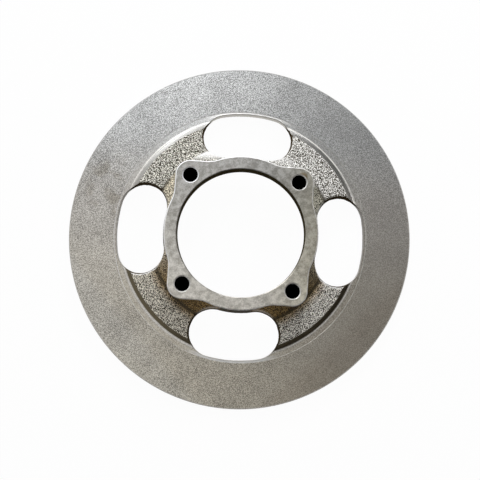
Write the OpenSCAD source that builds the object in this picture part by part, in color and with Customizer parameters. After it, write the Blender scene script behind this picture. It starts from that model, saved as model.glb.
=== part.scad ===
// Brake disc: one iron casting with a flat friction ring, a dished web with
// four windows, and a raised four-lobed hub that bolts to the wheel flange.
// The origin is on the disc's axis at the back face of the friction ring,
// and +Z points to the hub face. The windows lie on the X and Y axes.

/* [Friction ring] */
// Outer diameter of the disc
disc_d = 250; // [245:1:280]
// Thickness of the friction ring between its two ground faces
ring_t = 10; // [9:0.5:12]
// Inner diameter of both ground faces
face_inner_d = 185; // [184.4:0.2:188]
// Step down from the ground face to the turned land inside it
land_drop = 0.3; // [0.1:0.1:0.6]
// Chamfer on the two outer edges of the ring
rim_chamfer = 0.8; // [0.3:0.1:1.5]

/* [Web] */
// Diameter at the foot of the turned conical step
step_foot_d = 174.1; // [171:0.1:176]
// Diameter at the top of the conical step, where the cast web begins
step_top_d = 167.5; // [164:0.1:169]
// Rise of the conical step above the land
step_rise = 4.1; // [3:0.1:5]
// Radius of the turned corner at the foot of the conical step
step_foot_fillet = 0.9; // [0.4:0.1:1.4]
// Height of the web above the ground face where it meets the boss
web_rise = 9.4; // [8:0.1:11]
// Thickness of the web, measured along the axis
web_t = 8.4; // [7:0.1:9.5]
// Slope of the turned relief inside the back ground face
relief_angle = 45; // [35:1:60]
// Radius of the turned corner between that relief and the cast back of the web
relief_fillet = 1.5; // [0.5:0.1:3]

/* [Hub] */
// Height of the hub face above the ground face of the ring
hub_rise = 21; // [19:0.5:26]
// Diameter of the hub face between the lobes
hub_ring_d = 109.6; // [107:0.2:112]
// Diameter of the round foot where the boss meets the web
boss_foot_d = 131.2; // [129:0.2:136]
// Radius of the cast corner between the boss and the web
boss_foot_fillet = 5; // [2:0.5:7]
// Diameter of the centre bore
bore_d = 91.5; // [88:0.1:93]
// Length of the turned wall of the bore
bore_len = 14; // [11:0.5:15]
// Chamfer on the mouth of the bore
bore_chamfer = 0.6; // [0.3:0.1:1]
// Angle of the cast flare behind the bore, measured from the axis
flare_angle = 45; // [35:1:50]

/* [Lobes] */
// Diameter of the bolt circle
bolt_circle_d = 110; // [108:0.5:112]
// Radius of each lobe round its bolt hole
lobe_r = 10.6; // [10:0.1:11.5]
// Angle from a lobe's own direction to the normal of its straight side
lobe_side_angle = 45; // [40:1:50]
// Radius of the hollow blend from a lobe into the hub
lobe_blend_r = 22; // [14:1:30]
// Draft of the cast sides of the lobes
lobe_draft = 3; // [1:0.5:5]
// Chamfer round the turned hub face
hub_chamfer = 0.7; // [0.3:0.1:1]

/* [Bolt holes] */
// Diameter of each bolt hole
bolt_hole_d = 10.5; // [8.5:0.1:11]
// Depth of the straight part of each bolt hole
bolt_hole_depth = 14; // [11:0.5:14.5]
// Angle of the drilled point at the bottom of each bolt hole
drill_angle = 118; // [118:1:140]
// Chamfer on the mouth of each bolt hole
bolt_chamfer = 0.8; // [0.4:0.1:1.2]

/* [Windows] */
// Diameter of the circle that the middle of each window follows
window_circle_d = 148; // [145:0.5:149]
// Width of each window at its parting line
window_w = 33.4; // [29:0.1:33.8]
// Angle between the centres of a window's two round ends
window_sweep = 24.2; // [16:0.2:26]
// Draft of the window walls, both ways from the parting line
window_draft = 5.5; // [3:0.5:6]

/* [Hidden] */
$fn = 96;

iron = [0.55, 0.54, 0.52];
lobe_count = 4;
window_count = 4;
lobe_pitch = 360 / lobe_count;
clear = 1;        // overrun of every cutter past the face that it cuts
hub_lip = 0.3;    // straight cast edge left between the hub's chamfer and the boss
arc_step = 5;     // degrees between the points of a computed arc

disc_r = disc_d / 2;
face_inner_r = face_inner_d / 2;
step_foot_r = step_foot_d / 2;
step_top_r = step_top_d / 2;
hub_r = hub_ring_d / 2;
boss_foot_r = boss_foot_d / 2;
bore_r = bore_d / 2;
bolt_r = bolt_circle_d / 2;
hole_r = bolt_hole_d / 2;
window_mid_r = window_circle_d / 2;

// Heights along the axis, from the back face of the ring
parting_z = ring_t / 2;
land_z = ring_t - land_drop;
step_top_z = land_z + step_rise;
boss_foot_z = ring_t + web_rise;
hub_z = ring_t + hub_rise;
bore_end_z = hub_z - bore_len;

// The back of the web runs parallel to its front
web_slope = (boss_foot_z - step_top_z) / (step_top_r - boss_foot_r);
function web_front_z(r) = step_top_z + web_slope * (step_top_r - r);
function web_back_z(r) = web_front_z(r) - web_t;
relief_slope = tan(relief_angle);
relief_r = (face_inner_r * relief_slope - web_back_z(0)) / (relief_slope - web_slope);
hub_back_z = web_back_z(boss_foot_r);
flare_r = bore_r + (bore_end_z - hub_back_z) * tan(flare_angle);

// Points of an arc round a centre, from one angle to another
function arc_points(centre, r, from, to) =
    let (n = max(2, ceil(abs(to - from) / arc_step)))
    [for (i = [0:n]) centre + r * [cos(from + (to - from) * i / n), sin(from + (to - from) * i / n)]];

// The same points without the first and the last
function between_ends(points) = [for (i = [1:len(points) - 2]) points[i]];

function unit(v) = v / norm(v);

// A corner b between a and c, rounded with radius r
function rounded_corner(a, b, c, r) =
    let (u = unit(a - b), v = unit(c - b),
         half = acos(u * v) / 2,
         centre = b + unit(u + v) * r / sin(half),
         p = b + u * r / tan(half) - centre,
         q = b + v * r / tan(half) - centre,
         from = atan2(p.y, p.x),
         turn = atan2(p.x * q.y - p.y * q.x, p * q))
    arc_points(centre, r, from, from + turn);

// Half section of the turned casting, from the axis side outwards
module section() {
    core_r = bore_r - clear;
    foot = [step_foot_r, land_z];
    top = [step_top_r, step_top_z];
    boss = [boss_foot_r, boss_foot_z];
    relief = [relief_r, web_back_z(relief_r)];
    hub_back = [boss_foot_r, hub_back_z];
    pad_z = hub_z - hub_chamfer - hub_lip;
    polygon(concat(
        [[core_r, hub_back_z], [core_r, pad_z], [hub_r, pad_z]],
        rounded_corner([hub_r, pad_z], boss, top, boss_foot_fillet),
        [top],
        rounded_corner(top, foot, [face_inner_r, land_z], step_foot_fillet),
        [[face_inner_r - land_drop, land_z], [face_inner_r, ring_t]],
        [[disc_r - rim_chamfer, ring_t], [disc_r, ring_t - rim_chamfer]],
        [[disc_r, rim_chamfer], [disc_r - rim_chamfer, 0]],
        [[face_inner_r, 0]],
        rounded_corner([face_inner_r, 0], relief, hub_back, relief_fillet),
        [hub_back]
    ));
}

// Centre of the hollow blend beside a lobe that lies along +X
side_normal = [cos(lobe_side_angle), sin(lobe_side_angle)];
side_along = [-side_normal.y, side_normal.x];
side_reach = side_normal.x * bolt_r + lobe_r;
blend_out = side_reach + lobe_blend_r;
blend_centre = blend_out * side_normal
    - sqrt((hub_r + lobe_blend_r) ^ 2 - blend_out ^ 2) * side_along;
blend_angle = atan2(blend_centre.y, blend_centre.x);

function turned(p, a) = [p.x * cos(a) - p.y * sin(a), p.x * sin(a) + p.y * cos(a)];

// One quarter of the hub's outline, moved outwards by grow: the lower blend,
// the lobe's tip, the upper blend and the arc of the hub up to the next lobe
function lobe_outline(grow) = concat(
    arc_points([blend_centre.x, -blend_centre.y], lobe_blend_r - grow,
        180 - blend_angle, 180 - lobe_side_angle),
    arc_points([bolt_r, 0], lobe_r + grow, -lobe_side_angle, lobe_side_angle),
    arc_points(blend_centre, lobe_blend_r - grow, 180 + lobe_side_angle, 180 + blend_angle),
    between_ends(arc_points([0, 0], hub_r + grow, blend_angle, lobe_pitch - blend_angle))
);

// The hub's whole outline at height z
function hub_outline(grow, z) =
    [for (k = [0:lobe_count - 1], p = lobe_outline(grow))
        let (q = turned(p, (k + 0.5) * lobe_pitch)) [q.x, q.y, z]];

// The lobed hub, lofted through its outlines: cast sides with draft, and
// the chamfer up to the turned face
module hub_pad() {
    foot_z = boss_foot_z - web_t / 2;
    edge_z = hub_z - hub_chamfer;
    rings = [
        hub_outline((edge_z - foot_z) * tan(lobe_draft), foot_z),
        hub_outline(0, edge_z),
        hub_outline(-hub_chamfer, hub_z)
    ];
    n = len(rings[0]);
    last = len(rings) - 1;
    polyhedron(
        points = [for (ring = rings, p = ring) p],
        faces = concat(
            [[for (i = [0:n - 1]) i]],
            [for (j = [0:last - 1], i = [0:n - 1])
                [j * n + i, (j + 1) * n + i, (j + 1) * n + (i + 1) % n, j * n + (i + 1) % n]],
            [[for (i = [n - 1:-1:0]) last * n + i]]
        )
    );
}

// Bore: the turned wall, its mouth chamfer and the cast flare behind it
module bore_cut() {
    translate([0, 0, hub_back_z - clear])
        cylinder(h = hub_z - hub_back_z + 2 * clear, r = bore_r);
    translate([0, 0, hub_z - bore_chamfer])
        cylinder(h = bore_chamfer + clear, r1 = bore_r, r2 = bore_r + bore_chamfer + clear);
    translate([0, 0, hub_back_z - clear])
        cylinder(
            h = bore_end_z - hub_back_z + clear,
            r1 = flare_r + clear * tan(flare_angle),
            r2 = bore_r
        );
}

// Blind bolt hole with a drilled point and a chamfered mouth
module bolt_hole_cut() {
    point_h = hole_r / tan(drill_angle / 2);
    translate([0, 0, hub_z - bolt_hole_depth])
        cylinder(h = bolt_hole_depth + clear, r = hole_r);
    translate([0, 0, hub_z - bolt_hole_depth - point_h])
        cylinder(h = point_h, r1 = 0, r2 = hole_r);
    translate([0, 0, hub_z - bolt_chamfer])
        cylinder(h = bolt_chamfer + clear, r1 = hole_r, r2 = hole_r + bolt_chamfer + clear);
}

// A slot round the axis, with round ends, that widens by its draft above and
// below the parting line, which runs half way through the ring's thickness
module window_cut() {
    half_w = window_w / 2;
    top_h = hub_z - parting_z + clear;
    low_h = parting_z + clear;
    top_w = half_w + top_h * tan(window_draft);
    low_w = half_w + low_h * tan(window_draft);
    translate([0, 0, parting_z]) {
        rotate([0, 0, -window_sweep / 2])
            rotate_extrude(angle = window_sweep)
                polygon([
                    [window_mid_r - low_w, -low_h], [window_mid_r + low_w, -low_h],
                    [window_mid_r + half_w, 0], [window_mid_r + top_w, top_h],
                    [window_mid_r - top_w, top_h], [window_mid_r - half_w, 0]
                ]);
        for (side = [-1, 1])
            rotate([0, 0, side * window_sweep / 2])
                translate([window_mid_r, 0, 0]) {
                    cylinder(h = top_h, r1 = half_w, r2 = top_w);
                    translate([0, 0, -low_h])
                        cylinder(h = low_h, r1 = low_w, r2 = half_w);
                }
    }
}

module brake_disc() {
    color(iron)
        difference() {
            union() {
                rotate_extrude() section();
                hub_pad();
            }
            bore_cut();
            for (k = [0:lobe_count - 1])
                rotate([0, 0, (k + 0.5) * lobe_pitch])
                    translate([bolt_r, 0, 0])
                        bolt_hole_cut();
            for (k = [0:window_count - 1])
                rotate([0, 0, k * 360 / window_count])
                    window_cut();
        }
}

brake_disc();
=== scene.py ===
import math

import bmesh
import bpy
from mathutils import Matrix, Vector
from mathutils.kdtree import KDTree


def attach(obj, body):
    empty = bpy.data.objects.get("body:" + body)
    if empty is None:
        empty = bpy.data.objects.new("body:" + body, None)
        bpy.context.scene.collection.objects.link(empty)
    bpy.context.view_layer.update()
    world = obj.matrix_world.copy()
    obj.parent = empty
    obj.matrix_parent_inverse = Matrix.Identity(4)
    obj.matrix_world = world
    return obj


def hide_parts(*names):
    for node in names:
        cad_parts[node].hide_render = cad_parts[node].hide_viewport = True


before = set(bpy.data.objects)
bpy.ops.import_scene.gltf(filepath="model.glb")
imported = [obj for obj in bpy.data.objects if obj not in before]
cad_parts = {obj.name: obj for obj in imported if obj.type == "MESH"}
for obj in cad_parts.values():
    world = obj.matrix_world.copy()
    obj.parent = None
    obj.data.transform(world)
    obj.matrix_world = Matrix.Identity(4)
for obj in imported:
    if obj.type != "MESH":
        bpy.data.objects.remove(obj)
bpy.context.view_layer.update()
mm = 0.001

discSizes = {  # millimetres, the same values as the part's source
    "faceInnerR": 92.5,
    "rimR": 125.0,
    "landZ": 9.7,
    "stepTopR": 83.75,
    "hubZ": 31.0,
    "boreR": 45.75,
    "boreEndZ": 17.0,
    "boltCircleR": 55.0,
    "boltHoleR": 5.25,
    "bossFootZ": 19.4,
}


class Wire:
    # One output of a node, so that sums in a material read as sums.
    def __init__(self, maker, socket):
        self.maker = maker
        self.socket = socket

    def maths(self, operation, first, second=None, limit=False):
        inputs = {0: first} if second is None else {0: first, 1: second}
        return self.maker.add("ShaderNodeMath", {"operation": operation, "use_clamp": limit}, inputs)

    def __add__(self, other):
        return self.maths("ADD", self, other)

    def __radd__(self, other):
        return self.maths("ADD", other, self)

    def __sub__(self, other):
        return self.maths("SUBTRACT", self, other)

    def __rsub__(self, other):
        return self.maths("SUBTRACT", other, self)

    def __mul__(self, other):
        return self.maths("MULTIPLY", self, other)

    def __rmul__(self, other):
        return self.maths("MULTIPLY", other, self)

    def __truediv__(self, other):
        return self.maths("DIVIDE", self, other)

    def __rtruediv__(self, other):
        return self.maths("DIVIDE", other, self)

    def __abs__(self):
        return self.maths("ABSOLUTE", self)

    def root(self):
        return self.maths("SQRT", self)

    def sine(self):
        return self.maths("SINE", self)

    def limited(self):
        return self.maths("ADD", self, 0.0, limit=True)

    def beside(self, output):
        # another output of the same node
        return Wire(self.maker, self.socket.node.outputs[output])


class NodeMaker:
    def __init__(self, tree):
        self.tree = tree
        tree.nodes.clear()

    def add(self, kind, settings=None, inputs=None, output=0):
        node = self.tree.nodes.new(kind)
        for name, value in (settings or {}).items():
            if name == "stops":
                ramp = node.color_ramp.elements
                while len(ramp) < len(value):
                    ramp.new(0.5)
                for stop, (place, colour) in zip(ramp, value):
                    stop.position = place
                    stop.color = colour
            else:
                setattr(node, name, value)
        for name, value in (inputs or {}).items():
            if isinstance(value, Wire):
                self.tree.links.new(value.socket, node.inputs[name])
            else:
                node.inputs[name].default_value = value
        return Wire(self, node.outputs[output]) if node.outputs else node

    def noise(self, place, size, detail, rough):
        # size is about one lump, in millimetres
        inputs = {"Vector": place, "Scale": 1.0 / (size * mm), "Detail": detail, "Roughness": rough}
        return self.add("ShaderNodeTexNoise", None, inputs)

    def fade(self, value, low, high):
        return self.add(
            "ShaderNodeMapRange",
            {"interpolation_type": "SMOOTHSTEP"},
            {"Value": value, "From Min": low, "From Max": high},
        )

    def zone(self, x, y, spanX, spanY):
        return self.fade(x, *spanX) * self.fade(y, *spanY)

    def blend(self, factor, first, second, mode="MIX"):
        settings = {"data_type": "RGBA", "blend_type": mode}
        return self.add("ShaderNodeMix", settings, {0: factor, 6: first, 7: second}, 2)

    def tint(self, share, colour, by):
        return self.blend(share, colour, by, "MULTIPLY")

    def sideLightTint(self, x, y, colour, by):
        # painted light or shade on one side: by is a colour, a way across the disc, and where along that way
        # the tint starts and is full
        tint, (wayX, wayY), span = by
        return self.tint(self.fade(x * wayX + y * wayY, *span), colour, tint)

    def bump(self, height, strength, depth, normal=None):
        inputs = {"Strength": strength, "Distance": depth * mm, "Height": height}
        if normal is not None:
            inputs["Normal"] = normal
        return self.add("ShaderNodeBump", None, inputs)


def rgb(red, green, blue):
    return (red, green, blue, 1.0)


def newMaterial(name):
    material = bpy.data.materials.new(name)
    material.use_nodes = True
    return material, NodeMaker(material.node_tree)


def discPlaces(maker):
    # Object coordinates, and from them x, y, the distance from the axis and the height, in millimetres.
    place = maker.add("ShaderNodeTexCoord", None, None, 3)
    parts = maker.add("ShaderNodeSeparateXYZ", None, {0: place})
    x, y, height = (parts.beside(i) / mm for i in range(3))
    return place, x, y, (x * x + y * y).root(), height


def squareFrom(x, y, middle):
    # the square of the distance from a place on the disc
    return (x - middle[0]) * (x - middle[0]) + (y - middle[1]) * (y - middle[1])


def grooved(maker, x, y, reach, height, pitch, slope):
    # The fine grooves of a turning tool lean the normal towards the axis and away from it by turns.
    lean = ((reach + height) * (math.tau / pitch)).sine() * slope / reach
    offset = maker.add("ShaderNodeCombineXYZ", None, {"X": x * lean, "Y": y * lean})
    flat = maker.add("ShaderNodeNewGeometry", None, None, 1)
    leaned = maker.add("ShaderNodeVectorMath", {"operation": "ADD"}, {0: flat, 1: offset})
    return maker.add("ShaderNodeVectorMath", {"operation": "NORMALIZE"}, {0: leaned})


def finishMaterial(material, maker, inputs, metallic=1.0):
    shader = maker.add("ShaderNodeBsdfPrincipled", None, {"Metallic": metallic, **inputs})
    maker.add("ShaderNodeOutputMaterial", None, {"Surface": shader})
    return material


print("materials")

# In the looks below, places are in millimetres, a pair says where a fade starts and where it is full, and
# a noise is given by its size, detail and roughness.
groundLook = {
    "darkGrain": rgb(0.12, 0.114, 0.104),
    "paleGrain": rgb(0.60, 0.578, 0.54),
    "grain": (0.58, 3.0, 0.65),
    "grainSpan": (0.32, 0.7),
    "cloud": (22.0, 3.0, 0.5),
    "cloudShare": 0.12,
    "plainGrain": rgb(0.36, 0.346, 0.322),
    "plainShare": 0.45,
    "plainX": (0.0, 80.0),
    "darkSpeck": rgb(0.78, 0.78, 0.78),
    "paleSpeck": rgb(1.16, 1.16, 1.16),
    "speckSpan": (0.36, 0.64),
    "glintY": (0.0, 70.0),
    "frontZ": (4.0, 6.0),
    "smudge": rgb(0.74, 0.72, 0.68),
    "smudgePlace": (-94.0, 29.0),
    "smudgeReach": 26.0,
    "smudgeEdge": (1.0, 0.3),
    "smudges": (9.0, 2.0, 0.5),
    "smudgeSpan": (0.45, 0.65),
    # painted light and shade: paler and warmer towards the bottom, paler and cooler at the lower left,
    # darker at the lower right, cooler at the top
    "sides": {
        "low": (rgb(1.06, 1.035, 0.965), (0, 1), (30.0, -60.0)),
        "bottom": (rgb(1.08, 1.07, 1.04), (0, 1), (-70.0, -105.0)),
        "lowRight": (rgb(0.92, 0.90, 0.885), (1, -1), (135.0, 155.0)),
        "lowLeft": (rgb(1.07, 1.09, 1.13), (1, 1), (-138.0, -155.0)),
        "top": (rgb(0.98, 1.03, 1.09), (0, 1), (20.0, 80.0)),
    },
    "topRightShade": rgb(0.88, 0.88, 0.88),
    "topRightShadeZone": ((-15.0, 35.0), (50.0, 80.0)),
    "left": rgb(0.89, 0.89, 0.89),
    "leftZone": ((-45.0, -75.0), (12.0, 35.0)),
    "roughness": 0.42,
    "grainRoughness": 0.3,
    "bump": 0.35,
    "bumpDepth": 0.05,
}


def groundIron():
    look = groundLook
    material, maker = newMaterial("groundIron")
    place, x, y, reach, height = discPlaces(maker)
    grain = maker.noise(place, *look["grain"])
    cloud = maker.noise(place, *look["cloud"])
    shade = maker.fade(grain + (cloud - 0.5) * look["cloudShare"], *look["grainSpan"])
    colour = maker.blend(shade, look["darkGrain"], look["paleGrain"])
    colour = maker.blend(maker.fade(x, *look["plainX"]) * look["plainShare"], colour, look["plainGrain"])
    # painted glints: towards the top the specks make the grain paler and darker
    glintSpecks = maker.blend(maker.fade(grain, *look["speckSpan"]), look["darkSpeck"], look["paleSpeck"])
    colour = maker.tint(maker.fade(y, *look["glintY"]), colour, glintSpecks)
    front = maker.fade(height, *look["frontZ"])
    away = squareFrom(x, y, look["smudgePlace"]) / look["smudgeReach"] ** 2
    smudge = maker.fade(maker.noise(place, *look["smudges"]), *look["smudgeSpan"])
    smudge = smudge * maker.fade(away, *look["smudgeEdge"])
    colour = maker.tint(smudge * front, colour, look["smudge"])
    # painted light and shade by side
    for side in look["sides"].values():
        colour = maker.sideLightTint(x, y, colour, side)
    # painted shade at the top right of the ring
    colour = maker.tint(maker.zone(x, y, *look["topRightShadeZone"]), colour, look["topRightShade"])
    # painted shade on the left of the ring's front face
    colour = maker.tint(maker.zone(x, y, *look["leftZone"]) * front, colour, look["left"])
    roughness = look["roughness"] + (grain - 0.5) * look["grainRoughness"]
    bump = maker.bump(grain, look["bump"], look["bumpDepth"])
    return finishMaterial(material, maker, {"Base Color": colour, "Roughness": roughness, "Normal": bump})


turnedLook = {
    "darkGrain": rgb(0.28, 0.266, 0.243),
    "paleGrain": rgb(0.52, 0.50, 0.465),
    "grain": (0.9, 2.0, 0.6),
    "grainSpan": (0.3, 0.7),
    "lightWay": (0.64, 0.77),
    "landStartR": (88.4, 89.0),
    "landEndR": (92.4, 92.2),
    "landShade": rgb(0.84, 0.84, 0.84),
    "landShadeSpan": (-40.0, 10.0),
    "landWarmLight": rgb(1.05, 1.02, 0.94),
    "landWarmLightY": (30.0, -60.0),
    "landHighlight": rgb(0.60, 0.595, 0.58),
    "landHighlightZone": ((38.0, 18.0), (55.0, 75.0)),
    "landHighlightR": (89.8, 90.3),
    "stepFootZ": (9.8, 10.2),
    "stepTopZ": (14.5, 13.9),
    "stepShine": rgb(0.54, 0.53, 0.51),
    "shineShare": 0.85,
    "stepShade": rgb(0.72, 0.72, 0.72),
    "stepShadeX": (45.0, 72.0),
    "brownStainAndShade": rgb(0.30, 0.26, 0.18),
    "brownY": (45.0, -30.0),
    "footHighlight": rgb(0.95, 0.93, 0.88),
    "lineR": 87.9,
    "lineEdge": (0.5, 0.2),
    "lineSpan": (-50.0, 60.0),
    "lineShares": (0.25, 0.7),
    "lineEndX": (64.0, 80.0),
    "lineEndShare": 0.4,
    "roughness": 0.3,
    "grainRoughness": 0.15,
    "bump": 0.3,
    "bumpDepth": 0.03,
    "groovePitch": 0.35,
    "grooveSlope": 0.16,
}


def turnedIron():
    look = turnedLook
    material, maker = newMaterial("turnedIron")
    place, x, y, reach, height = discPlaces(maker)
    grain = maker.noise(place, *look["grain"])
    colour = maker.blend(maker.fade(grain, *look["grainSpan"]), look["darkGrain"], look["paleGrain"])
    # the same painted cool light at the top as on the ring
    colour = maker.sideLightTint(x, y, colour, groundLook["sides"]["top"])
    towardsLight = x * look["lightWay"][0] + y * look["lightWay"][1]
    landEnd = maker.fade(reach, *look["landEndR"])
    onLand = maker.fade(reach, *look["landStartR"]) * landEnd
    colour = maker.tint(onLand * maker.fade(towardsLight, *look["landShadeSpan"]), colour, look["landShade"])
    # painted warm light on the land towards the bottom
    colour = maker.tint(onLand * maker.fade(y, *look["landWarmLightY"]), colour, look["landWarmLight"])
    # painted highlight on the land at the top and the bottom, beyond the windows
    beyondWindows = maker.zone(abs(x), abs(y), *look["landHighlightZone"])
    bright = beyondWindows * maker.fade(reach, *look["landHighlightR"]) * landEnd
    colour = maker.blend(bright, colour, look["landHighlight"])
    onStep = maker.fade(height, *look["stepFootZ"]) * maker.fade(height, *look["stepTopZ"])
    colour = maker.blend(onStep * look["shineShare"], colour, look["stepShine"])
    colour = maker.tint(onStep * maker.fade(x, *look["stepShadeX"]), colour, look["stepShade"])
    # a brown stain and painted shade make the step darker towards the bottom
    colour = maker.tint(onStep * maker.fade(y, *look["brownY"]), colour, look["brownStainAndShade"])
    # painted highlight along the step's foot, stronger towards the light and weaker at the far right
    least, more = look["lineShares"]
    lineShare = maker.fade(towardsLight, *look["lineSpan"]) * more + least
    lineShare = lineShare * (1.0 - maker.fade(x, *look["lineEndX"]) * look["lineEndShare"])
    onLine = maker.fade(abs(reach - look["lineR"]), *look["lineEdge"])
    colour = maker.blend(onLine * lineShare, colour, look["footHighlight"])
    normal = grooved(maker, x, y, reach, height, look["groovePitch"], look["grooveSlope"])
    bump = maker.bump(grain, look["bump"], look["bumpDepth"], normal)
    roughness = look["roughness"] + grain * look["grainRoughness"]
    return finishMaterial(material, maker, {"Base Color": colour, "Roughness": roughness, "Normal": bump})


hubLook = {
    "darkPatch": rgb(0.37, 0.35, 0.31),
    "palePatch": rgb(0.67, 0.645, 0.59),
    "patch": (4.0, 3.0, 0.6),
    "patchSpan": (0.25, 0.75),
    "grain": (0.9, 2.0, 0.6),
    "grainShare": 0.7,
    "topShade": rgb(0.565, 0.58, 0.605),
    "topShadeY": (-65.0, 55.0),
    "rightShade": rgb(0.95, 0.935, 0.85),
    "rightShadeX": (15.0, 55.0),
    "rust": rgb(0.46, 0.35, 0.19),
    "rustShare": 0.8,
    "rustPlace": (41.6, 43.2),
    "rustReach": 4.2,
    "rustCoreR": 1.0,
    "rustWander": 8.0,
    "roughness": 0.36,
    "patchRoughness": 0.15,
    "bump": 0.25,
    "bumpDepth": 0.04,
    "grooveSlope": 0.10,
}


def hubIron():
    look = hubLook
    material, maker = newMaterial("hubIron")
    place, x, y, reach, height = discPlaces(maker)
    patch = maker.noise(place, *look["patch"])
    grain = maker.noise(place, *look["grain"])
    shade = maker.fade(patch + (grain - 0.5) * look["grainShare"], *look["patchSpan"])
    colour = maker.blend(shade, look["darkPatch"], look["palePatch"])
    colour = maker.tint(maker.fade(y, *look["topShadeY"]), colour, look["topShade"])
    colour = maker.tint(maker.fade(x, *look["rightShadeX"]), colour, look["rightShade"])
    away = squareFrom(x, y, look["rustPlace"]) + (patch - 0.5) * look["rustWander"]
    rust = maker.fade(away, look["rustReach"] ** 2, look["rustCoreR"] ** 2)
    colour = maker.tint(rust * look["rustShare"], colour, look["rust"])
    normal = grooved(maker, x, y, reach, height, turnedLook["groovePitch"], look["grooveSlope"])
    bump = maker.bump(grain + patch, look["bump"], look["bumpDepth"], normal)
    roughness = look["roughness"] + patch * look["patchRoughness"]
    return finishMaterial(material, maker, {"Base Color": colour, "Roughness": roughness, "Normal": bump})


castLook = {
    "pitsAndShade": rgb(0.03, 0.023, 0.010),
    "skin": rgb(0.30, 0.285, 0.235),
    "topsAndGlints": rgb(1.0, 0.985, 0.935),
    "rampStops": (0.46, 0.50, 0.527),
    "grain": (0.69, 1.0, 0.5),
    "fewerPits": 0.010,
    "topPaintedShade": 0.028,
    "topPaintedShadeY": (-10.0, 50.0),
    "upLeftPaintedShade": 0.015,
    "upLeftZone": ((20.0, 80.0), (-10.0, 40.0)),
    "lowContrast": 0.7,
    "lowContrastY": (10.0, -30.0),
    "frontZ": (13.0, 15.0),
    "frontR": (52.0, 53.5),
    "olive": rgb(0.96, 0.955, 0.90),
    "oliveSpan": (20.0, 90.0),
    "warmLight": rgb(1.0, 0.955, 0.86),
    "warmLightY": (30.0, -40.0),
    "warmEndX": (0.0, 50.0),
    "warmEndShare": 0.6,
    "flankR": (66.0, 65.0),
    "paleHighlight": rgb(0.95, 0.94, 0.92),
    "topFlankY": (50.0, 57.0),
    "topFlankEndX": (0.0, 20.0),
    "topFlankShares": (0.8, 0.5),
    "leftFlankLight": rgb(1.12, 1.04, 0.90),
    "leftFlankZone": ((-35.0, -50.0), (5.0, 15.0)),
    "rightFlankShade": rgb(0.56, 0.55, 0.47),
    "rightFlankZone": ((35.0, 50.0), (42.0, 36.0)),
    "brownStainAndShade": rgb(0.40, 0.25, 0.05),
    "brownR": (74.0, 64.5),
    "brownY": (5.0, -45.0),
    "brownPatch": (9.0, 3.0, 0.6),
    "brownWander": 5.0,
    "bareGrain": (0.5, 0.62),
    "bareShare": 0.15,
    "creaseR": 65.4,
    "creaseEdge": (2.1, 0.4),
    "creaseY": (48.0, 28.0),
    "creaseShare": 0.8,
    "backUp": (-0.15, -0.5),
    "plainSkin": rgb(0.40, 0.385, 0.35),
    "plainShare": 0.5,
    "backShade": rgb(0.72, 0.70, 0.66),
    "waistShade": rgb(0.05, 0.037, 0.020),
    "waistWidth": (14.0, 9.0),
    "waistR": (60.0, 59.0),
    "rimHighlightSpan": (0.0, 0.4),
    "rimHighlightZone": ((54.0, 62.0), (-15.0, -24.0)),
    "roughness": 0.4,
    "grainRoughness": 0.2,
    "waistRoughness": 0.4,
    "specular": 0.25,
    "bump": 0.9,
    "bumpDepth": 0.5,
}


def castGrain(maker, grain, x, y):
    # Dark pits, the skin between them and pale tops, which are worn high points and painted glints. Painted
    # shade makes the web darker towards the top and the upper left by shifting the grain towards the pits.
    # There is more contrast below.
    look = castLook
    pitsAndShade = maker.fade(y, *look["topPaintedShadeY"]) * look["topPaintedShade"] - look["fewerPits"]
    pitsAndShade = pitsAndShade + maker.zone(y - x, y, *look["upLeftZone"]) * look["upLeftPaintedShade"]
    contrast = 1.0 + maker.fade(y, *look["lowContrastY"]) * look["lowContrast"]
    stops = list(zip(look["rampStops"], (look["pitsAndShade"], look["skin"], look["topsAndGlints"])))
    return maker.add("ShaderNodeValToRGB", {"stops": stops}, {0: (grain - 0.5) * contrast + 0.5 - pitsAndShade})


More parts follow.
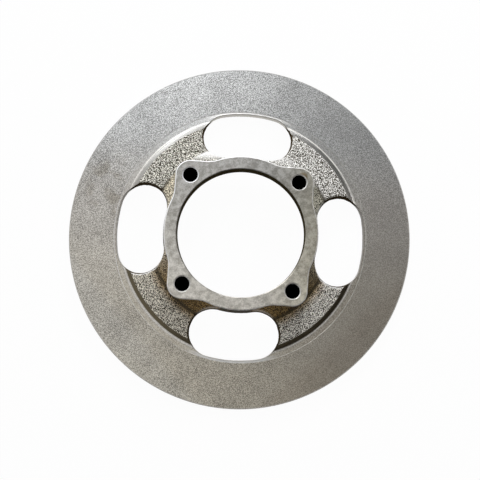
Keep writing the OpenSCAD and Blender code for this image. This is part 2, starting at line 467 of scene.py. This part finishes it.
def castIron():
    look = castLook
    material, maker = newMaterial("castIron")
    place, x, y, reach, height = discPlaces(maker)
    grain = maker.noise(place, *look["grain"])
    colour = castGrain(maker, grain, x, y)
    front = maker.fade(height, *look["frontZ"]) * maker.fade(reach, *look["frontR"])
    colour = maker.tint(maker.fade(y - x, *look["oliveSpan"]), colour, look["olive"])
    # painted warm light towards the bottom, less of it at the right
    warmEnd = maker.fade(x, *look["warmEndX"]) * look["warmEndShare"]
    colour = maker.tint(maker.fade(y, *look["warmLightY"]) * (1.0 - warmEnd), colour, look["warmLight"])
    flank = maker.fade(reach, *look["flankR"]) * front
    # painted highlight on the boss flank near the top, less of it at the right
    most, less = look["topFlankShares"]
    litTopFlank = maker.fade(y, *look["topFlankY"]) * (most - maker.fade(x, *look["topFlankEndX"]) * less)
    colour = maker.blend(flank * litTopFlank, colour, look["paleHighlight"])
    # painted light on the left flank, paler and warmer
    colour = maker.tint(flank * maker.zone(x, y, *look["leftFlankZone"]), colour, look["leftFlankLight"])
    # painted shade on the right flank
    colour = maker.tint(flank * maker.zone(x, y, *look["rightFlankZone"]), colour, look["rightFlankShade"])
    # a brown stain and painted shade darken the web near the boss on the lower side, less on bare grain
    wander = (maker.noise(place, *look["brownPatch"]) - 0.5) * look["brownWander"]
    near = maker.fade(reach + wander, *look["brownR"]) * front * maker.fade(y, *look["brownY"])
    bare = maker.fade(grain, *look["bareGrain"]) * look["bareShare"]
    colour = maker.tint(near * (1.0 - bare), colour, look["brownStainAndShade"])
    # painted shade along the crease at the boss's foot, except near the top
    creaseShade = maker.fade(abs(reach - look["creaseR"]), *look["creaseEdge"]) * front
    creaseShare = maker.fade(y, *look["creaseY"]) * look["creaseShare"]
    colour = maker.blend(creaseShade * creaseShare, colour, look["pitsAndShade"])
    normal = maker.add("ShaderNodeNewGeometry", None, None, 1)
    up = maker.add("ShaderNodeSeparateXYZ", None, {0: normal}, 2)
    back = maker.fade(up, *look["backUp"])
    colour = maker.blend(back * look["plainShare"], colour, look["plainSkin"])
    colour = maker.tint(back, colour, look["backShade"])
    # painted shade: a dark brown patch at the hub's four waists
    waistShade = maker.zone(abs(x * y) / reach, reach, look["waistWidth"], look["waistR"]) * front
    colour = maker.blend(waistShade, colour, look["waistShade"])
    # painted highlight on the front edges at the lower ends of the left and right windows
    rim = maker.fade(maker.add("ShaderNodeAttribute", {"attribute_name": "rim"}, None, 2), *look["rimHighlightSpan"])
    colour = maker.blend(rim * maker.zone(abs(x), y, *look["rimHighlightZone"]), colour, look["paleHighlight"])
    roughness = look["roughness"] + grain * look["grainRoughness"] + waistShade * look["waistRoughness"]
    bump = maker.bump(grain, look["bump"], look["bumpDepth"])
    inputs = {"Base Color": colour, "Roughness": roughness, "Normal": bump}
    return finishMaterial(material, maker, {**inputs, "Specular IOR Level": look["specular"]}, 0.0)


wallLook = {
    # dark paint without reflection stands for painted shade in these walls and holes
    "windowWall": ((0.10, 0.074, 0.042), 0.6, 1.0),  # colour, roughness and how far the cut ring shows
    "boreWall": ((0.09, 0.072, 0.036), 0.6, 0.0),
    "boltHole": ((0.006, 0.0055, 0.005), 0.7, 0.0),
    "grain": (1.2, 3.0, 0.6),
    "grainSpan": (0.3, 0.7),
    "darkShare": 0.5,
    "cutRing": rgb(0.62, 0.60, 0.56),
    "cutRingR": (86.5, 89.0),
    "cutRingZ": (10.4, 7.5),
    "shineY": (25.0, 60.0),
    "shineShares": (0.1, 0.7),
    "specular": 0.0,
}


def darkIron(name):
    # Dark paint without reflection is painted shade on the windows' walls, the bore and in the bolt holes.
    # The windows' walls are paler where they cut through the ring.
    look = wallLook
    paint, roughness, cutRingShare = look[name]
    material, maker = newMaterial(name)
    place, x, y, reach, height = discPlaces(maker)
    grain = maker.noise(place, *look["grain"])
    dark = rgb(*(look["darkShare"] * part for part in paint))
    colour = maker.blend(maker.fade(grain, *look["grainSpan"]), dark, rgb(*paint))
    onRing = maker.zone(reach, height, look["cutRingR"], look["cutRingZ"]) * cutRingShare
    colour = maker.blend(onRing, colour, look["cutRing"])
    least, more = look["shineShares"]
    metallic = onRing * (maker.fade(abs(y), *look["shineY"]) * more + least)
    inputs = {"Base Color": colour, "Roughness": roughness, "Specular IOR Level": look["specular"]}
    return finishMaterial(material, maker, inputs, metallic)


edgeLook = {
    "darkGrain": rgb(0.42, 0.41, 0.38),
    "paleGrain": rgb(0.85, 0.83, 0.78),
    "grain": (2.5, 3.0, 0.6),
    "grainSpan": (0.3, 0.7),
    "upLeftHighlight": rgb(0.97, 0.97, 0.97),
    "upLeftHighlightSpan": (-20.0, 90.0),
    "roughness": 0.4,
    "metallic": 0.3,
}


def paleEdge():
    # pale chamfers: worn edges and a painted highlight, whiter towards the upper left
    look = edgeLook
    material, maker = newMaterial("paleEdge")
    place, x, y, reach, height = discPlaces(maker)
    grain = maker.noise(place, *look["grain"])
    colour = maker.blend(maker.fade(grain, *look["grainSpan"]), look["darkGrain"], look["paleGrain"])
    colour = maker.blend(maker.fade(y - x, *look["upLeftHighlightSpan"]), colour, look["upLeftHighlight"])
    inputs = {"Base Color": colour, "Roughness": look["roughness"]}
    return finishMaterial(material, maker, inputs, look["metallic"])


materials = {
    "ground": groundIron(),
    "turned": turnedIron(),
    "hub": hubIron(),
    "cast": castIron(),
    "wall": darkIron("windowWall"),
    "edge": paleEdge(),
    "bore": darkIron("boreWall"),
    "hole": darkIron("boltHole"),
}
finishNames = list(materials)
castNames = ("cast", "wall")

print("casting mesh")

mouthLook = {  # the windows' front edges, in millimetres
    "corner": 40.0,  # degrees
    "wallUp": 0.3,
    "webUp": 0.5,
    "reach": 1.4,
    "full": 1.6,
    "rounding": 3,
    "castDepth": 0.2,
    "rim": 0.9,
}

castingRules = {  # millimetres
    "mergeReach": 0.002,
    "thinnest": 0.001,
    "smoothest": 24.0,  # degrees, the largest angle that is still shaded smooth
    "flatSlope": 0.03,
    "offAxis": 0.06,
    "level": 0.01,
    "rounds": 9,
    "stretch": 0.1,
    "skinReach": 1.5,
    "backZ": 8.0,
}

finishRules = {  # margins in millimetres, and how far a face's normal points up
    "flatUp": 0.99,
    "ringMargin": 0.2,
    "rimWidth": 2.0,
    "ringEdgeWidth": 0.4,
    "ringEdgeUp": (0.3, 0.95),
    "stepUp": 0.2,
    "endMargin": 0.1,
    "hubMargin": 0.01,
    "holeMouthWidth": 1.2,
    "holeLowestZ": 10.0,
    "holePointZ": 20.0,
    "backUp": -0.3,
    "boreMouthWidth": 1.0,
    "slightUp": 0.1,
    "hubEdgeHeight": 0.75,
    "wallUp": 0.25,
    "wallMargin": 0.4,
}

meshSizes = {  # longest edge of each finish, in millimetres
    "ground": 9.0,
    "turned": 3.0,
    "hub": 4.0,
    "edge": 1.5,
    "cast": 1.02,
    "wall": 1.5,
    "bore": 2.2,
    "hole": 2.2,
    "back": 2.2,
}


def castOrWall(face):
    low = face.calc_center_median().z / mm < discSizes["bossFootZ"] - finishRules["wallMargin"]
    return "wall" if abs(face.normal.z) < finishRules["wallUp"] and low else "cast"


def finishOf(face):
    size, rules = discSizes, finishRules
    middle = face.calc_center_median() / mm
    reach = math.hypot(middle.x, middle.y)
    up = face.normal.z
    turn = math.pi / 2
    nearest = turn * round(math.atan2(middle.y, middle.x) / turn - 0.5) + turn / 2
    hole = Vector((math.cos(nearest), math.sin(nearest))) * size["boltCircleR"]
    holeR = (middle.xy - hole).length
    if reach > size["faceInnerR"] - rules["ringMargin"] and abs(up) > rules["flatUp"]:
        return "ground"
    if reach > size["rimR"] - rules["rimWidth"]:
        return "turned"
    lowUp, highUp = rules["ringEdgeUp"]
    if abs(reach - size["faceInnerR"]) < rules["ringEdgeWidth"] and lowUp < up < highUp:
        return "edge"
    if reach > size["stepTopR"] and up > rules["stepUp"] and middle.z > size["landZ"] - rules["endMargin"]:
        return "turned"
    if middle.z > size["hubZ"] - rules["hubMargin"]:
        return "hub"
    inHole = holeR < size["boltHoleR"] + rules["holeMouthWidth"] and middle.z > rules["holeLowestZ"]
    if inHole and up > rules["backUp"]:
        return "hole" if abs(up) < rules["slightUp"] or middle.z < rules["holePointZ"] else "edge"
    if reach < size["boreR"] + rules["boreMouthWidth"] and middle.z > size["boreEndZ"] - rules["endMargin"]:
        return "hub" if up > rules["slightUp"] else "bore"
    if middle.z > size["hubZ"] - rules["hubEdgeHeight"] and up > rules["slightUp"]:
        return "edge"
    return castOrWall(face)


def longestAllowed(edge):
    sizes = []
    for face in edge.link_faces:
        name = finishNames[face.material_index]
        low = face.calc_center_median().z < castingRules["backZ"] * mm
        back = name in castNames and (face.normal.z < finishRules["backUp"] or low)
        sizes.append(meshSizes["back" if back else name])
    return min(sizes) * mm


def bothCast(faces):
    return all(finishNames[face.material_index] in castNames for face in faces)


def treeOf(points):
    tree = KDTree(len(points))
    for i, point in enumerate(points):
        tree.insert(point, i)
    tree.balance()
    return tree


def middleOf(edge):
    return (edge.verts[0].co + edge.verts[1].co) / 2


def mouthPoints(shape):
    # the sharp front edges of the windows in the cast web
    points = []
    corner = math.radians(mouthLook["corner"])
    for edge in shape.edges:
        faces = edge.link_faces
        if len(faces) == 2 and bothCast(faces) and edge.calc_face_angle(0.0) > corner:
            wallUp, webUp = sorted(face.normal.z for face in faces)
            if abs(wallUp) < mouthLook["wallUp"] and webUp > mouthLook["webUp"]:
                points.append(middleOf(edge))
    return points


def isRound(edge):
    # an edge along a turned or revolved surface, or along its rim
    rules = castingRules
    rounds = 0
    for face in edge.link_faces:
        middle, normal = face.calc_center_median().xy, face.normal.xy
        offAxis = abs(normal.cross(middle))
        if normal.length > rules["flatSlope"] and offAxis < rules["offAxis"] * normal.length * middle.length:
            rounds += 1
    start, end = (vert.co.xy.length for vert in edge.verts)
    return rounds == 2 or (rounds == 1 and abs(start - end) < rules["level"] * mm)


def splitLongEdges(shape):
    # New points on round edges move out to the round, so that turned faces stay round.
    longOnes = [e for e in shape.edges if e.calc_length() > longestAllowed(e)]
    rounds = [e for e in longOnes if isRound(e)]
    middles = treeOf([middleOf(e) for e in rounds])
    reaches = [sum(vert.co.xy.length for vert in e.verts) / 2 for e in rounds]
    cut = bmesh.ops.subdivide_edges(shape, edges=longOnes, cuts=1)
    if rounds:
        for vert in [item for item in cut["geom_inner"] if isinstance(item, bmesh.types.BMVert)]:
            i, away = middles.find(vert.co)[1:]
            near = away < castingRules["thinnest"] * mm
            if near and reaches[i] - vert.co.xy.length < castingRules["stretch"] * mm:
                vert.co.xy *= reaches[i] / vert.co.xy.length
    bmesh.ops.triangulate(shape, faces=[f for f in shape.faces if len(f.verts) > 3])
    dropPockets(shape)
    return len(longOnes)


def refillHubFace(shape):
    # The hub's flat face is filled again between its borders, because in the CAD mesh it laps over itself.
    top = (discSizes["hubZ"] - castingRules["thinnest"]) * mm
    lid = [face for face in shape.faces if all(vert.co.z > top for vert in face.verts)]
    bmesh.ops.delete(shape, geom=lid, context="FACES")
    border = [e for e in shape.edges if e.is_boundary and min(vert.co.z for vert in e.verts) > top]
    filled = bmesh.ops.triangle_fill(shape, edges=border, use_beauty=True, normal=Vector((0, 0, 1)))
    shape.normal_update()
    for face in filled["geom"]:
        if isinstance(face, bmesh.types.BMFace) and face.normal.z < 0:
            face.normal_flip()


def dropPockets(shape):
    # Two triangles back to back on the same three points hold nothing, and they crowd the edges beside them.
    seen = {}
    for edge in shape.edges:
        if len(edge.link_faces) > 2:
            for face in edge.link_faces:
                seen.setdefault(frozenset(face.verts), set()).add(face)
    twins = [face for faces in seen.values() if len(faces) == 2 for face in faces]
    bmesh.ops.delete(shape, geom=twins, context="FACES")


def giveFinishes(shape):
    for face in shape.faces:
        face.material_index = finishNames.index(finishOf(face))
        face.smooth = True
    smoothest = math.radians(castingRules["smoothest"])
    for edge in shape.edges:
        edge.smooth = edge.calc_face_angle(0.0) < smoothest or bothCast(edge.link_faces)
    for i in range(castingRules["rounds"]):
        if not splitLongEdges(shape):
            break
    for face in shape.faces:
        if bothCast([face]):
            face.material_index = finishNames.index(castOrWall(face))


def markSkin(shape):
    # skin is full on the cast surfaces and fades towards the turned ones, and mouth and rim are full at the
    # windows' front edges.
    border = treeOf([vert.co for vert in shape.verts if not bothCast(vert.link_faces)])
    mouths = treeOf(mouthPoints(shape))
    for face in shape.faces:
        isWall = finishNames[face.material_index] == "wall"
        if isWall and mouths.find(face.calc_center_median())[2] < mouthLook["castDepth"] * mm:
            face.material_index = finishNames.index("cast")
    skin, mouth, rim = (shape.verts.layers.float.new(name) for name in ("skin", "mouth", "rim"))
    for vert in shape.verts:
        vert[skin] = min(1.0, border.find(vert.co)[2] / (castingRules["skinReach"] * mm))
        away = mouths.find(vert.co)[2] / mm
        vert[rim] = max(0.0, 1.0 - away / mouthLook["rim"])
        vert[mouth] = vert[skin] * max(0.0, min(1.0, mouthLook["full"] - away / mouthLook["reach"]))


def makeCasting():
    shape = bmesh.new()
    shape.from_mesh(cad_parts["brake_disc"].data)
    bmesh.ops.remove_doubles(shape, verts=shape.verts, dist=castingRules["mergeReach"] * mm)
    bmesh.ops.dissolve_degenerate(shape, edges=shape.edges, dist=castingRules["thinnest"] * mm)
    refillHubFace(shape)
    giveFinishes(shape)
    markSkin(shape)
    mesh = bpy.data.meshes.new("discCasting")
    shape.to_mesh(mesh)
    shape.free()
    for material in materials.values():
        mesh.materials.append(material)
    casting = bpy.data.objects.new("discCasting", mesh)
    bpy.context.scene.collection.objects.link(casting)
    print("  faces", len(mesh.polygons))
    return casting


skinLook = {  # the names of the tree's inputs, with lengths in millimetres
    "Lump size": 6.0,
    "Lump height": 0.35,
    "Grain size": 1.9,
    "Grain height": 0.22,
    "Seed": 4.0,
    "Rounding": 1,
    "Mouth rounding": mouthLook["rounding"],
}


def castSkinTree():
    tree = bpy.data.node_groups.new("castSkin", "GeometryNodeTree")
    maker = NodeMaker(tree)
    tree.interface.new_socket("Geometry", in_out="INPUT", socket_type="NodeSocketGeometry")
    for name, value in skinLook.items():
        kind = "NodeSocketInt" if isinstance(value, int) else "NodeSocketFloat"
        tree.interface.new_socket(name, in_out="INPUT", socket_type=kind)
    tree.interface.new_socket("Geometry", in_out="OUTPUT", socket_type="NodeSocketGeometry")
    given = maker.add("NodeGroupInput").socket.node
    inputs = {s.name: Wire(maker, s) for s in given.outputs}
    skin = maker.add("GeometryNodeInputNamedAttribute", {"data_type": "FLOAT"}, {"Name": "skin"})
    place = maker.add("GeometryNodeInputPosition")
    mouth = maker.add("GeometryNodeInputNamedAttribute", {"data_type": "FLOAT"}, {"Name": "mouth"})
    soft = inputs["Geometry"]
    for weight, times in ((skin, inputs["Rounding"]), (mouth, inputs["Mouth rounding"])):
        rounded = maker.add(
            "GeometryNodeBlurAttribute",
            {"data_type": "FLOAT_VECTOR"},
            {"Value": place, "Iterations": times, "Weight": weight},
        )
        soft = maker.add("GeometryNodeSetPosition", None, {"Geometry": soft, "Position": rounded})

    def lumps(size):
        return maker.add(
            "ShaderNodeTexNoise",
            {"noise_dimensions": "4D"},
            {"Vector": place, "W": inputs["Seed"], "Scale": 1 / (size * mm), "Detail": 1.0},
        )

    height = (lumps(inputs["Lump size"]) - 0.5) * inputs["Lump height"]
    height = height + (lumps(inputs["Grain size"]) - 0.5) * inputs["Grain height"]
    normal = maker.add("GeometryNodeInputNormal")
    offset = maker.add(
        "ShaderNodeVectorMath", {"operation": "SCALE"}, {0: normal, "Scale": height * skin * mm}
    )
    rough = maker.add("GeometryNodeSetPosition", None, {"Geometry": soft, "Offset": offset})
    real = maker.add("GeometryNodeRealizeInstances", None, {"Geometry": rough})
    index = maker.add("GeometryNodeInputMaterialIndex")
    isCast = maker.add(
        "FunctionNodeCompare",
        {"data_type": "INT", "operation": "EQUAL"},
        {2: index, 3: finishNames.index("cast")},
    )
    dressed = maker.add(
        "GeometryNodeSetMaterial",
        None,
        {"Geometry": real, "Selection": isCast, "Material": materials["cast"]},
    )
    maker.add("NodeGroupOutput", None, {"Geometry": dressed})
    return tree


def giveTree(owner, tree, values):
    # A modifier's inputs go by the identifiers of the tree's sockets.
    modifier = owner.modifiers.new(tree.name, "NODES")
    modifier.node_group = tree
    for item in tree.interface.items_tree:
        if item.in_out == "INPUT" and item.name in values:
            modifier[item.identifier] = values[item.name]
    bpy.context.view_layer.update()
    graph = bpy.context.evaluated_depsgraph_get()
    mesh = bpy.data.meshes.new_from_object(owner.evaluated_get(graph))
    owner.modifiers.clear()
    old = owner.data
    owner.data = mesh
    bpy.data.meshes.remove(old)
    return owner


casting = giveTree(makeCasting(), castSkinTree(), skinLook)
print("  materials", [m.name for m in casting.data.materials])

print("stage")

studio = {
    "floorSize": 8.0,
    "floorDrop": 0.0003,
    "whiteShare": 0.97,
    "worldLight": 0.3,
    "lamps": {  # place, power and size
        "keyLamp": ((-0.25, 0.69, 0.95), 3.4, 0.4),
        "topLamp": ((0.10, 0.90, 0.55), 5.8, 0.25),
        "rightLamp": ((0.83, 0.30, 0.74), 2.4, 0.3),
        "sideLamp": ((-0.68, 0.93, 0.22), 3.6, 0.35),
        "lowLamp": ((-0.5, -0.85, 1.0), 0.9, 0.4),
    },
    "lampTint": (0.96, 0.97, 1.0),
    "tentRadius": 1.3,
    "tentHeight": 1.5,
    "tentSides": (236.0, 445.0),  # degrees
    "tentSteps": 24,
    "sideShade": rgb(0.07, 0.05, 0.033),
    "topShade": rgb(0.28, 0.25, 0.20),
    "topEdge": 0.1,
    "topReach": 1.82,
    "floorShade": rgb(0.85, 0.85, 0.85),
    "white": rgb(1.0, 1.0, 1.0),
}


def whiteRays(maker):
    # Seen straight, in a reflection or through something clear, the ground and the air are white.
    seen = maker.add("ShaderNodeLightPath")
    straight, mirrored = seen.beside("Is Camera Ray"), seen.beside("Is Glossy Ray")
    return (straight + mirrored + seen.beside("Is Transmission Ray")).limited()


def flatPanel(low, high, height):
    # the corners of a level rectangle, and its one face
    corners = [(low[0], low[1]), (high[0], low[1]), (high[0], high[1]), (low[0], high[1])]
    return [(x, y, height) for x, y in corners], [(0, 1, 2, 3)]


def makeFloor():
    half = studio["floorSize"] / 2
    points, faces = flatPanel((-half, -half), (half, half), -studio["floorDrop"])
    mesh = bpy.data.meshes.new("floor")
    mesh.from_pydata(points, [], faces)
    material, maker = newMaterial("whiteFloor")
    shaded = maker.add("ShaderNodeBsdfDiffuse", None, {"Color": studio["floorShade"]})
    white = maker.add("ShaderNodeEmission", None, {"Color": studio["white"], "Strength": 1.0})
    share = whiteRays(maker) * studio["whiteShare"]
    both = maker.add("ShaderNodeMixShader", None, {0: share, 1: shaded, 2: white})
    maker.add("ShaderNodeOutputMaterial", None, {"Surface": both})
    mesh.materials.append(material)
    floor = bpy.data.objects.new("floor", mesh)
    bpy.context.scene.collection.objects.link(floor)
    return floor


def makeTent():
    # Dark cloth stands round the disc's lower and right sides and grey cloth hangs overhead. The camera sees
    # neither.
    parts = []
    radius, height = studio["tentRadius"], studio["tentHeight"]
    low, high = (math.radians(a) for a in studio["tentSides"])
    steps = studio["tentSteps"]
    angles = [low + (high - low) * i / steps for i in range(steps + 1)]
    rim = [(radius * math.cos(angle), radius * math.sin(angle)) for angle in angles]
    sides = [(x, y, z) for z in (0.0, height) for x, y in rim]
    around = [(i, i + 1, i + steps + 2, i + steps + 1) for i in range(steps)]
    reach = studio["topReach"]
    top, topFace = flatPanel((studio["topEdge"], -reach), (reach, reach), height)
    for name, points, faces, shade in (
        ("sideCloth", sides, around, studio["sideShade"]),
        ("topCloth", top, topFace, studio["topShade"]),
    ):
        mesh = bpy.data.meshes.new(name)
        mesh.from_pydata(points, [], faces)
        material, maker = newMaterial(name)
        cloth = maker.add("ShaderNodeBsdfDiffuse", None, {"Color": shade})
        maker.add("ShaderNodeOutputMaterial", None, {"Surface": cloth})
        mesh.materials.append(material)
        panel = bpy.data.objects.new(name, mesh)
        panel.visible_camera = False
        bpy.context.scene.collection.objects.link(panel)
        parts.append(panel)
    return parts


def makeWorld():
    world = bpy.data.worlds.new("studioAir")
    bpy.context.scene.world = world
    world.use_nodes = True
    maker = NodeMaker(world.node_tree)
    colour = maker.blend(whiteRays(maker), rgb(*[studio["worldLight"]] * 3), studio["white"])
    sky = maker.add("ShaderNodeBackground", None, {"Color": colour, "Strength": 1.0})
    maker.add("ShaderNodeOutputWorld", None, {"Surface": sky})


def makeLamp(name, place, power, size):
    data = bpy.data.lights.new(name, "AREA")
    data.energy = power
    data.color = studio["lampTint"]
    data.size = size
    lamp = bpy.data.objects.new(name, data)
    bpy.context.scene.collection.objects.link(lamp)
    place = Vector(place)
    lamp.matrix_world = Matrix.Translation(place) @ place.to_track_quat("Z", "Y").to_matrix().to_4x4()
    return lamp


view = {  # how the photograph was taken, found from the disc's circles
    "place": (-0.0096, -0.0588, 0.5937),
    "tilt": (-0.1191, 0.0380, -0.0665),
    "focal": 800.0,
    "middle": (257.85, 220.5),
    "width": 480.0,
    "sensor": 36.0,
    "clip": (0.01, 50.0),
}


def makeCamera():
    data = bpy.data.cameras.new("camera")
    data.sensor_width = view["sensor"]
    data.lens = view["focal"] / view["width"] * data.sensor_width
    data.shift_x = (view["width"] / 2 - view["middle"][0]) / view["width"]
    data.shift_y = (view["middle"][1] - view["width"] / 2) / view["width"]
    data.clip_start, data.clip_end = view["clip"]
    camera = bpy.data.objects.new("camera", data)
    bpy.context.scene.collection.objects.link(camera)
    tiltX, tiltY, roll = view["tilt"]
    turn = Matrix.Rotation(tiltX, 4, "X") @ Matrix.Rotation(tiltY, 4, "Y") @ Matrix.Rotation(roll, 4, "Z")
    place = Matrix.Rotation(-roll, 4, "Z") @ Vector(view["place"])
    camera.matrix_world = Matrix.Translation(place) @ turn.inverted()
    bpy.context.scene.camera = camera


floor = makeFloor()
tent = makeTent()
makeWorld()
for lampName, (lampPlace, power, size) in studio["lamps"].items():
    makeLamp(lampName, lampPlace, power, size)
makeCamera()
bpy.context.scene.view_settings.view_transform = "Standard"

print("frame calls")
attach(casting, "root")
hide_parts("brake_disc")
